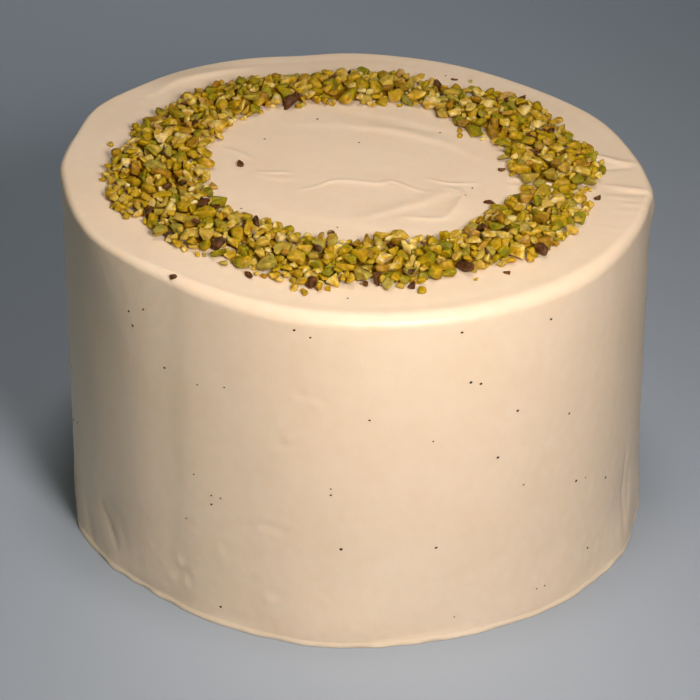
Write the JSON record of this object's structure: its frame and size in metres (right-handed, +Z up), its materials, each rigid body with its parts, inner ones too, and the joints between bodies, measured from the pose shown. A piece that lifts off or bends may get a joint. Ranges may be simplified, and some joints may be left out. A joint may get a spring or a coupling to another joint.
{
  "type": "chiffon cake",
  "caption": "Tall round chiffon cake under smooth cream frosting, with a wreath of chopped pistachios on its top.",
  "frame": {"origin": "centre of the cake's foot, on the surface that it stands on", "axes": "+Z up, -Y towards the viewer, +X to the viewer's right"},
  "size_m": [0.1784, 0.1782, 0.1188],
  "materials": {
    "cream_frosting": "whipped cream frosting smoothed with a knife, soft satin sheen, a few dark vanilla seeds",
    "chopped_pistachio": "chopped pistachio kernels, yellow-green to olive, with some purple-brown skins"
  },
  "bodies": {
    "root": {"frosted_cake": "cream_frosting", "pistachio_wreath": "chopped_pistachio"}
  },
  "joints": []
}
